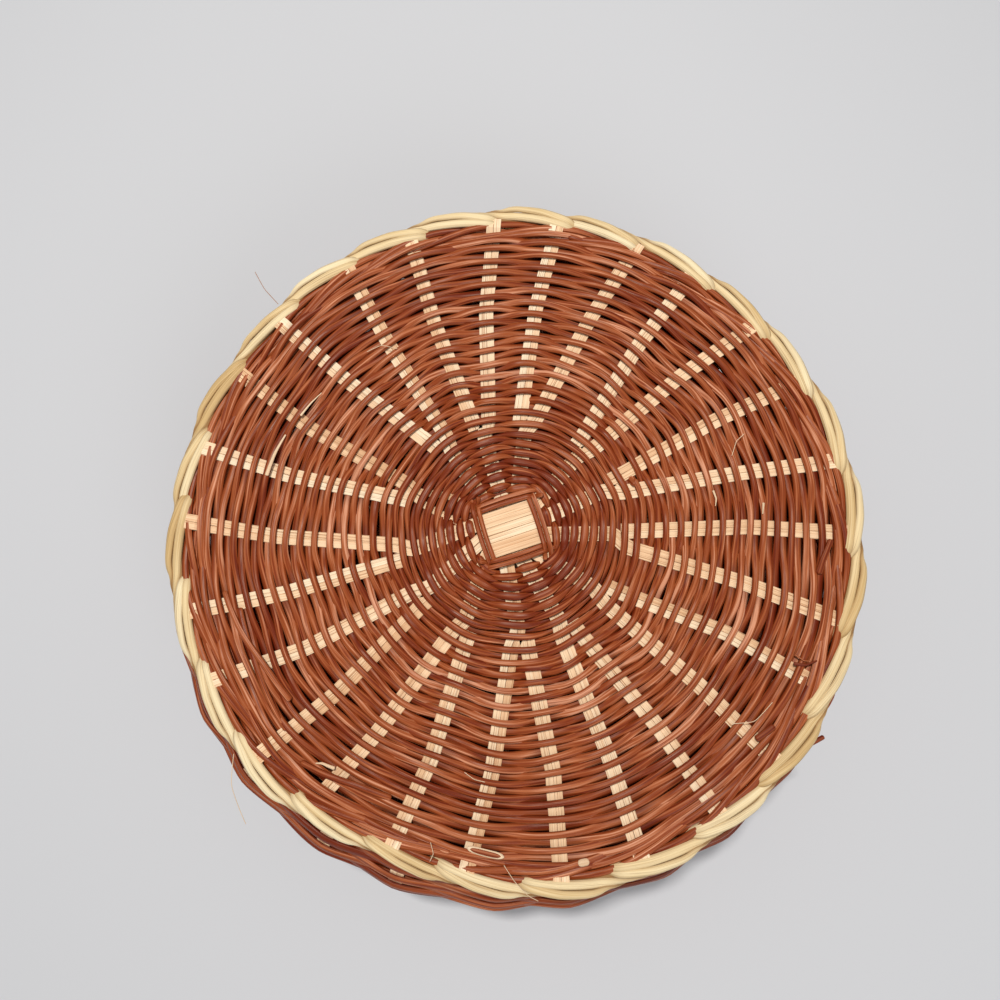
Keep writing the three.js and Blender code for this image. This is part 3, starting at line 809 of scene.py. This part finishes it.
def wales(bundle, rings, tones):
    """Rods that pass over two spokes and under one, each a spoke behind the last."""
    for radius, level, out, up, slant_out, slant_up, strands, width, thickness, rise in rings:
        for strand in range(strands):
            start = TAU * strand / STAKES + RODS.uniform(0, 0.1)
            theta = np.linspace(start, start + WALE_TURNS * TAU, int(STAKES * WALE_STEPS * WALE_TURNS))
            psi = theta / TAU * STAKES + strand
            mean, wave, half_wave = WALE_WAVES
            weave = mean + wave * np.cos(TAU * psi / 3) + half_wave * np.cos(2 * TAU * psi / 3)
            slant = 0.5 * np.cos(TAU * psi / 3 + 1.2)
            middle = around(radius + slant_out * slant, theta, level + slant_up * slant)
            normal = around(out, theta, up)
            tone, hue = rod_tone()
            height = rise * weave + wobble(4, WALE_NOISE, 4, 20)(theta, 0)
            path = middle + normal * height[:, None]
            tone = tones[0] + tones[1] * tone
            sweep(bundle, path, normal, width, thickness, tone, hue, rise=height)


# Rolled borders

# How the two strands of a stitch wind round the border: how many stitches along, mm out from its
# middle and mm up. Both come up at the inner edge, slant outwards over the last stitch's end, go
# down the outside and back in along the underside.
LEADING = [
    (0.0, -3.5, -1.2), (0.16, -1.5, 2.6), (0.55, 1.7, 2.6), (0.9, 3.2, 1.8), (1.02, 2.9, 0.9),
    (1.12, 2.0, -0.4), (1.35, 1.5, -2.0), (1.6, 0.5, -2.5), (1.85, -0.6, -2.6), (2.2, -1.8, -2.5),
    (2.5, -2.8, -1.4),
]
TRAILING = [
    (0.0, -4.3, -1.6), (0.16, -3.9, 2.2), (0.55, -2.0, 2.4), (0.9, -0.6, 1.8), (1.02, -0.1, 1.0),
    (1.15, 0.7, 0.6), (1.35, 1.8, 0.2), (1.6, 1.9, -0.9), (1.9, 1.5, -2.0), (2.2, 0.6, -2.6),
    (2.5, -0.4, -2.5),
]


def border(bundle, core):
    """Stitches of two flat rods side by side, rolled round a core."""
    radius, level = core
    pitch = TAU / STITCHES
    s = np.linspace(0, LEADING[-1][0], 80)
    for k in range(STITCHES):
        base = k * pitch + degrees(STITCH_START) + RODS.normal(0, degrees(STITCH_VARIES))
        theta = base + s * pitch * RODS.uniform(*STITCH_LENGTH)
        shift = RODS.normal(0, STITCH_SHIFT)
        for strand in (LEADING, TRAILING):
            place, out, up = np.array(strand).T
            out = smooth(np.interp(s, place, out), 3)
            up = smooth(np.interp(s, place, up), 3)
            path = around(radius + out + shift, theta, level + up)
            # The flat side faces away from the core
            facing = np.where(s < 0.3, 2.4, up)
            lean = unit(np.stack([out / 16, facing / 6.3], -1))
            normal = around(lean[:, 0], theta, lean[:, 1])
            tip = np.interp(s, *STRAND_TIP)
            shade_and_soil = np.interp(s, *STRAND_SHADE_AND_SOIL)
            tone, hue = rod_tone()
            width = RODS.uniform(*STRAND_WIDTH) * tip
            height = STRAND_THICKNESS * np.sqrt(tip)
            # edge: painted shade along the strands' edges, between the two strands and between stitches
            sweep(bundle, path, normal, width, height, tone, hue, sink=shade_and_soil, edge=0.6, ends=0.6)
    theta = np.linspace(0, TAU, 241)
    for lane, height in CORE_RODS:
        path = around(radius + lane, theta, level)
        # The core rods are painted wholly in shade colour, deep within the stitches.
        sweep(bundle, path, (0, 0, 1), CORE_WIDTH, height, 0.1, 0.5, sink=1.0, ends=0)


# The wall


def wall_radius(z):
    """The radius of the stakes' middle at a height."""
    below = np.clip(BELLY_LEVEL - z, 0, None) / (BELLY_LEVEL - FOOT_LEVEL)
    above = np.clip(z - BELLY_LEVEL, 0, None) / SHOULDER_SPAN
    foot_inset = (BELLY_RADIUS - FOOT_RADIUS) * below**BELLY_POWER
    rim_inset = (BELLY_RADIUS - RIM_WALL_RADIUS) * above**SHOULDER_POWER
    return BELLY_RADIUS - foot_inset - rim_inset


WALL_Z = np.linspace(2, 90, 600)
WALL_R = wall_radius(WALL_Z)
WALL_S = lengths(np.stack([WALL_R, WALL_Z], -1))


def wall_at(z):
    """How far along the wall a height is."""
    return np.interp(z, WALL_Z, WALL_S)


def wall_point(s):
    """The radius, height and outward direction some way along the wall."""
    z = np.interp(s, WALL_S, WALL_Z)
    r = np.interp(s, WALL_S, WALL_R)
    slope = np.interp(z, WALL_Z, np.gradient(WALL_R, WALL_Z))
    size = np.sqrt(1 + slope**2)
    return r, z, 1 / size, -slope / size


def drift(theta, z):
    """How far the handmade wall stands out there past a round one."""
    bulge, toward = BELLY_DRIFT
    middle, width, dent = BELLY_DENT
    out = bulge * np.cos(theta - degrees(toward)) + dent * bell(np.degrees(theta), middle, width)
    from_foot = (z - FOOT_LEVEL) / (BELLY_LEVEL - FOOT_LEVEL)
    from_top = (WALL_TOP - z) / (WALL_TOP - BELLY_LEVEL)
    share = np.clip(np.where(z < BELLY_LEVEL, from_foot, from_top), 0, 1)
    return out * share * (2 - share)


def stake_angle(index):
    """Stakes stand at the ends of the base's spokes, which lie with their outside down."""
    return -degrees(SPOKE_ANGLES[index // 2][2 + index % 2][1])


def stake_angles():
    """All stakes in anticlockwise order, as crossings for a weaver."""
    return np.sort([stake_angle(k) % TAU for k in range(STAKES)])


def side_weave(bundle):
    """Two weavers wound up the wall, each over the stakes that the other passes under."""
    s_low, s_high = wall_at(WALL_SPAN[0]), wall_at(WALL_SPAN[1])
    rows = (s_high - s_low) / WALL_PITCH
    shared = wobble(8, 0.28, 2, 13)
    angles = stake_angles()
    for strand in range(2):
        # The first and the last turn stay level, so that the wall closes below and above.
        turns = (-WALL_LEVEL_TURNS[0], rows / 2 + WALL_LEVEL_TURNS[1])
        steps = int((turns[1] - turns[0]) * STAKES * STEPS_PER_SPOKE)
        theta = np.linspace(turns[0] * TAU, turns[1] * TAU, steps)
        first = s_low + WALL_PITCH * (0.5 + strand)
        s = np.clip(first + 2 * WALL_PITCH * theta / TAU, first, s_high + WALL_PITCH * (strand - 0.9))
        psi = phase(theta, np.broadcast_to(angles, (len(theta), STAKES)))
        weave = np.arcsin(WALL_CREST * np.cos(math.pi * psi)) / math.asin(WALL_CREST)
        weave = (1 - 2 * strand) * weave
        cuts = cut_places(theta, weave, WALL_MEND)
        for low, high in zip(cuts[:-1], cuts[1:]):
            span = slice(max(0, low - LAP), high + LAP)
            t, w = theta[span], weave[span]
            own = wobble(5, 0.14, 5, 30)
            along = s[span] + shared(t, s[span]) + own(t, 0)
            r, z, nr, nz = wall_point(along)
            # Pulled straight from crest to crest
            flat = WALL_STRAIGHT * np.sin(math.pi * psi[span]) ** 2
            rise = w * WEAVE_RISE - flat + wobble(4, 0.1, 6, 26)(t, 0)
            rr = r + rise * nr + drift(t, z)
            path = around(rr, t, z + rise * nz)
            normal = around(nr, t, nz)
            tone, hue = rod_tone()
            size = RODS.uniform(0.95, 1.06)
            breadth = np.interp(w, *WALL_BREADTH) * size * np.interp(z, *SHOULDER_SPREAD)
            thickness = ROD_THICKNESS * size
            # The wall's rods get 0.6 of their tone: partly painted shade under the lid's edge, partly a
            # darker red.
            sweep(bundle, path, normal, breadth, thickness, 0.6 * tone, hue, rise=rise + flat)


def side_stakes(bundle):
    """The stakes, each a pair of splints from the foot to the rim."""
    for k in range(STAKES):
        angle = stake_angle(k)
        s = np.linspace(wall_at(STAKE_SPAN[0]), wall_at(STAKE_SPAN[1]), 70)
        r, z, nr, nz = wall_point(s)
        r = r + drift(angle, z)
        ahead = np.array([-math.sin(angle), math.cos(angle), 0])
        for lane in (-1, 1):
            splint(bundle, around(r, angle, z) + lane * SPLINT_WIDTH / 2 * ahead, around(nr, angle, nz))


# Loose ends


def loose(bundle, route, width, height, tone, sink, taper=(1, 1)):
    """A short length of rod or fibre through points of (angle, radius, height)."""
    route = np.array(route, float)
    s = np.linspace(0, 1, 24)
    knots = np.linspace(0, 1, len(route))
    angle, radius, level = (smooth(np.interp(s, knots, route[:, k]), 2) for k in range(3))
    path = around(radius, degrees(angle), level)
    size = np.interp(s, [0, 1], taper)
    sweep(bundle, path, (0, 0, 1), width * size, height * size, tone, RODS.uniform(0, 1), sink=sink, ends=0.5)


def slant_cut(bundle, start, end, width, level, tone, sink):
    """The long oval face of a rod that was cut off at a slant; start and end are (angle, radius)."""
    s = np.linspace(0, 1, 21)
    angle = degrees(np.interp(s, [0, 1], [start[0], end[0]]))
    radius = np.interp(s, [0, 1], [start[1], end[1]])
    path = around(radius, angle, level)
    oval = np.sqrt(np.clip(1 - (2 * s - 1) ** 4, 0.02, 1))
    sweep(bundle, path, (0, 0, 1), width * oval, 0.9, tone, 0.4, sink=sink, ends=0)


# Materials


def node(tree, kind, inputs=None, **settings):
    """Adds a node. inputs: what each socket gets, a number or another node's output."""
    made = tree.nodes.new(kind)
    for key, value in settings.items():
        setattr(made, key, value)
    for key, value in (inputs or {}).items():
        if isinstance(value, bpy.types.NodeSocket):
            tree.links.new(value, made.inputs[key])
        else:
            made.inputs[key].default_value = value
    return made


def srgb(r, g, b):
    """A colour from its values on a screen, 0 to 255."""

    def channel(c):
        c /= 255
        return c / 12.92 if c <= 0.04045 else ((c + 0.055) / 1.055) ** 2.4

    return (channel(r), channel(g), channel(b), 1)


def ramp(tree, factor, stops):
    """Colours by a factor. stops: places and screen values, the first place at 0."""
    made = node(tree, "ShaderNodeValToRGB", {0: factor})
    elements = made.color_ramp.elements
    while len(elements) > 1:
        elements.remove(elements[-1])
    elements[0].color = srgb(*stops[0][1])
    for position, color in stops[1:]:
        elements.new(position).color = srgb(*color)
    return made.outputs[0]


def rod_material(name, colors, buried, grain, roughness, streaks, grooves, bump):
    """A wooden strip: its own tone, streaks and fine dark grooves along its length, and painted shade that
    darkens it where
    the weave hides it. grain: how often the streaks change, along a mm and around the strip."""
    buried = srgb(*buried)
    material = bpy.data.materials.new(name)
    material.use_nodes = True
    tree = material.node_tree
    shader = tree.nodes["Principled BSDF"]

    def calc(operation, a, b, clamp=False):
        made = node(tree, "ShaderNodeMath", {0: a, 1: b}, operation=operation, use_clamp=clamp)
        return made.outputs[0]

    def mix(factor, a, b):
        inputs = {0: factor, 6: a, 7: b}
        return node(tree, "ShaderNodeMix", inputs, data_type="RGBA", blend_type="MIX").outputs[2]

    def noise(along, across, detail, offset=0.0):
        u = calc("MULTIPLY", split.outputs[0], along)
        v = calc("MULTIPLY", split.outputs[1], across)
        where = node(tree, "ShaderNodeCombineXYZ", {0: u, 1: v, 2: calc("ADD", seed, offset)})
        made = node(tree, "ShaderNodeTexNoise", {"Vector": where.outputs[0], "Scale": 1.0, "Detail": detail})
        return made.outputs[0]

    data = node(tree, "ShaderNodeAttribute", attribute_name="rod")
    parts = node(tree, "ShaderNodeSeparateColor", {0: data.outputs["Color"]})
    tone, hidden, hue = parts.outputs[0], parts.outputs[1], parts.outputs[2]
    uv = node(tree, "ShaderNodeUVMap", uv_map="along")
    split = node(tree, "ShaderNodeSeparateXYZ", {0: uv.outputs[0]})
    seed = calc("MULTIPLY", hue, 91.7)
    slow = noise(0.03, 0.6, 2.0)
    lines = noise(grain[0], grain[1], 3.0, 5.0)
    fine = noise(grain[0] * 2, grain[1] * 1.6, 2.0, 9.0)

    change = calc("MULTIPLY", calc("SUBTRACT", slow, 0.5), 0.9)
    streak = calc("MULTIPLY", calc("SUBTRACT", lines, 0.5), streaks)
    shade = calc("ADD", calc("ADD", tone, change), streak, clamp=True)
    thin = calc("MULTIPLY", calc("SUBTRACT", GROOVES_BELOW, fine), grooves, clamp=True)
    color = mix(thin, ramp(tree, shade, colors), buried)
    # Painted shade: the rod attribute's second channel mixes the colour towards the buried colour.
    deep = calc("MULTIPLY", calc("POWER", hidden, BURIED_POWER), BURIED_SHARE)
    color = mix(deep, color, buried)
    tree.links.new(color, shader.inputs["Base Color"])

    gloss = calc("ADD", roughness, calc("MULTIPLY", lines, DULLER_STREAKS))
    gloss = calc("ADD", gloss, calc("MULTIPLY", hidden, DULLER_BURIED))
    tree.links.new(gloss, shader.inputs["Roughness"])
    both = calc("ADD", lines, calc("MULTIPLY", fine, FINE_GROOVES))
    relief = node(tree, "ShaderNodeBump", {"Height": both, "Strength": bump, "Distance": GROOVE_DEPTH})
    tree.links.new(relief.outputs[0], shader.inputs["Normal"])
    shader.inputs["Specular IOR Level"].default_value = SHINE
    shader.inputs["Specular Tint"].default_value = SHINE_COLOR
    return material


ROD = rod_material(
    "dyed_rod",
    [
        (0, (112, 36, 10)), (0.3, (140, 60, 24)), (0.55, (159, 79, 38)), (0.8, (183, 105, 65)),
        (1, (217, 150, 115)),
    ],
    buried=(92, 22, 4), grain=(0.03, 12.0), roughness=0.26, streaks=2.3, grooves=2.7, bump=0.6,
)
SPLINT = rod_material(
    "pale_splint",
    [(0, (226, 178, 133)), (0.45, (249, 212, 170)), (1, (255, 234, 200))],
    buried=(164, 110, 68), grain=(0.012, 44.0), roughness=0.45, streaks=1.3, grooves=5.5, bump=0.35,
)
BORDER = rod_material(
    "peeled_border",
    [(0, (214, 180, 124)), (0.4, (238, 212, 162)), (1, (250, 232, 190))],
    buried=(146, 104, 60), grain=(0.015, 22.0), roughness=0.36, streaks=1.3, grooves=2.8, bump=0.6,
)


# The lid


LID_SPLINTS = ["lid_slath_upper", "lid_slath_lower", "lid_added_spoke"]
LID_SPLINTS += [f"lid_second_spoke_{k}" for k in range(1, SPOKES + 1)]
woven_panel("lid", "lid", LID_PANEL, LID_REACH, TIP_RISE, LEVEL_LID, None, LID_SPLINTS)

bundle = Bundle()
wales(bundle, LID_WALES, LID_WALE_TONES)
bundle.make("lid_wale_rods", "lid", ROD, ["lid_wale"], None, LEVEL_LID)

bundle = Bundle()
for cut in SPLINT_CUTS:
    slant_cut(bundle, *cut)
for splinter in SPLINTERS:
    loose(bundle, *splinter)
for fibre in FIBRES:
    loose(bundle, fibre, FIBRE_SIZE, FIBRE_SIZE, 0.9, 0.25)
loose(bundle, DARK_HAIR, HAIR_SIZE, HAIR_SIZE, 0, 1.0)
bundle.make("lid_splinters", "lid", SPLINT, [], None, LEVEL_LID)

bundle = Bundle()
slant_cut(bundle, *ROD_CUT)
for rod_end in ROD_ENDS:
    loose(bundle, *rod_end)
bundle.make("lid_rod_ends", "lid", ROD, [], None, LEVEL_LID)

bundle = Bundle()
border(bundle, LID_BORDER)
bundle.make("lid_border_stitches", "lid", BORDER, ["lid_border"])

bundle = Bundle()
COLLAR_ANGLES = crossing_angles(np.array([COLLAR_RADIUS]), LID_REACH, False)
for row in range(COLLAR_ROWS):
    theta = np.linspace(0, TAU * 1.02, STAKES * 10)
    psi = phase(theta, np.broadcast_to(COLLAR_ANGLES, (len(theta), STAKES)))
    weave = (1 - 2 * (row % 2)) * np.cos(math.pi * psi)
    rise = COLLAR_RISE * weave
    level = COLLAR_LEVEL + row * COLLAR_PITCH + 0.15 * np.sin(3 * theta + row)
    path = around(COLLAR_RADIUS + rise, theta, level)
    tone, hue = rod_tone()
    width, height = COLLAR_ROD
    sweep(bundle, path, around(1, theta, 0), width, height, tone, hue, rise=rise)
bundle.make("lid_collar_rods", "lid", ROD, ["lid_collar"])

bundle = Bundle()
for angle in COLLAR_ANGLES[0]:
    level = np.linspace(COLLAR_LEVEL - 0.9, COLLAR_TOP, 8)
    outward = np.array([math.cos(angle), math.sin(angle), 0])
    ahead = np.array([-math.sin(angle), math.cos(angle), 0])
    for lane in (-1, 1):
        path = around(np.full(len(level), COLLAR_RADIUS), angle, level)
        splint(bundle, path + lane * SPLINT_WIDTH / 2 * ahead, outward)
bundle.make("lid_collar_splints", "lid", SPLINT, [], smooth=False)


# The basket


BASE_TURN = (1, -1, -1)  # its outside faces down
BASE_SPLINTS = ["base_slath_outer", "base_slath_inner", "base_added_spoke"]
woven_panel("base", "basket", BASE_PANEL, BASE_REACH, 0, LEVEL_BASE, BASE_TURN, BASE_SPLINTS)

bundle = Bundle()
side_weave(bundle)
bundle.make("side_rods", "basket", ROD, ["side_weave"])

bundle = Bundle()
side_stakes(bundle)
STAKE_NODES = [f"side_stake_{k}" for k in range(1, STAKES + 1)]
bundle.make("side_splints", "basket", SPLINT, STAKE_NODES, smooth=False)

bundle = Bundle()
wales(bundle, RIM_WALES, RIM_WALE_TONES)
bundle.make("rim_wale_rods", "basket", ROD, ["rim_wale"])

bundle = Bundle()
border(bundle, RIM_BORDER)
bundle.make("rim_border_stitches", "basket", BORDER, ["rim_border"])

bundle = Bundle()
wales(bundle, FOOT_WALES, FOOT_WALE_TONES)
bundle.make("foot_wale_rods", "basket", ROD, ["foot_wale"])

# The binding shows on the inside of both panels too, and one rod's end stands out below the rim.
for prefix, body, level, turned in (
    ("lid", "lid", LEVEL_LID, None),
    ("base", "basket", LEVEL_BASE, BASE_TURN),
):
    bundle = Bundle()
    binding(bundle, -1)
    bundle.make(prefix + "_inner_binding", body, ROD, [], turned, level)

bundle = Bundle()
loose(bundle, *RIM_ROD_END)
bundle.make("rim_rod_end", "basket", ROD, [])


# The floor, the light and the camera


bpy.ops.mesh.primitive_plane_add(size=FLOOR_SIZE, location=(0, 0, 0))
floor = bpy.context.object
floor.name = "floor"
paper = bpy.data.materials.new("floor_paper")
paper.use_nodes = True
shader = paper.node_tree.nodes["Principled BSDF"]
shader.inputs["Base Color"].default_value = FLOOR_COLOR
shader.inputs["Roughness"].default_value = FLOOR_ROUGHNESS
floor.data.materials.append(paper)

scene = bpy.context.scene
scene.view_settings.view_transform = "Standard"
world = bpy.data.worlds.new("studio")
scene.world = world
world.use_nodes = True
sky = world.node_tree.nodes["Background"]
sky.inputs["Color"].default_value = (1.0, 1.0, 1.0, 1)
sky.inputs["Strength"].default_value = WORLD_STRENGTH

for name, place, aim, size, power, color in LAMPS:
    data = bpy.data.lights.new(name, "AREA")
    data.shape = "DISK"
    data.size = size
    data.energy = power
    data.color = color
    lamp = bpy.data.objects.new(name, data)
    lamp.location = place
    lamp.rotation_euler = (Vector(aim) - Vector(place)).to_track_quat("-Z", "Y").to_euler()
    scene.collection.objects.link(lamp)

right = CAMERA_AIM.cross(Vector((0, 1, 0))).normalized()
up = right.cross(CAMERA_AIM)
data = bpy.data.cameras.new("camera")
data.lens = CAMERA_LENS
data.sensor_width = CAMERA_SENSOR
camera = bpy.data.objects.new("camera", data)
turn = Matrix((right, up, -CAMERA_AIM)).transposed().to_4x4()
camera.matrix_world = Matrix.Translation(CAMERA_PLACE) @ turn
scene.collection.objects.link(camera)
scene.camera = camera
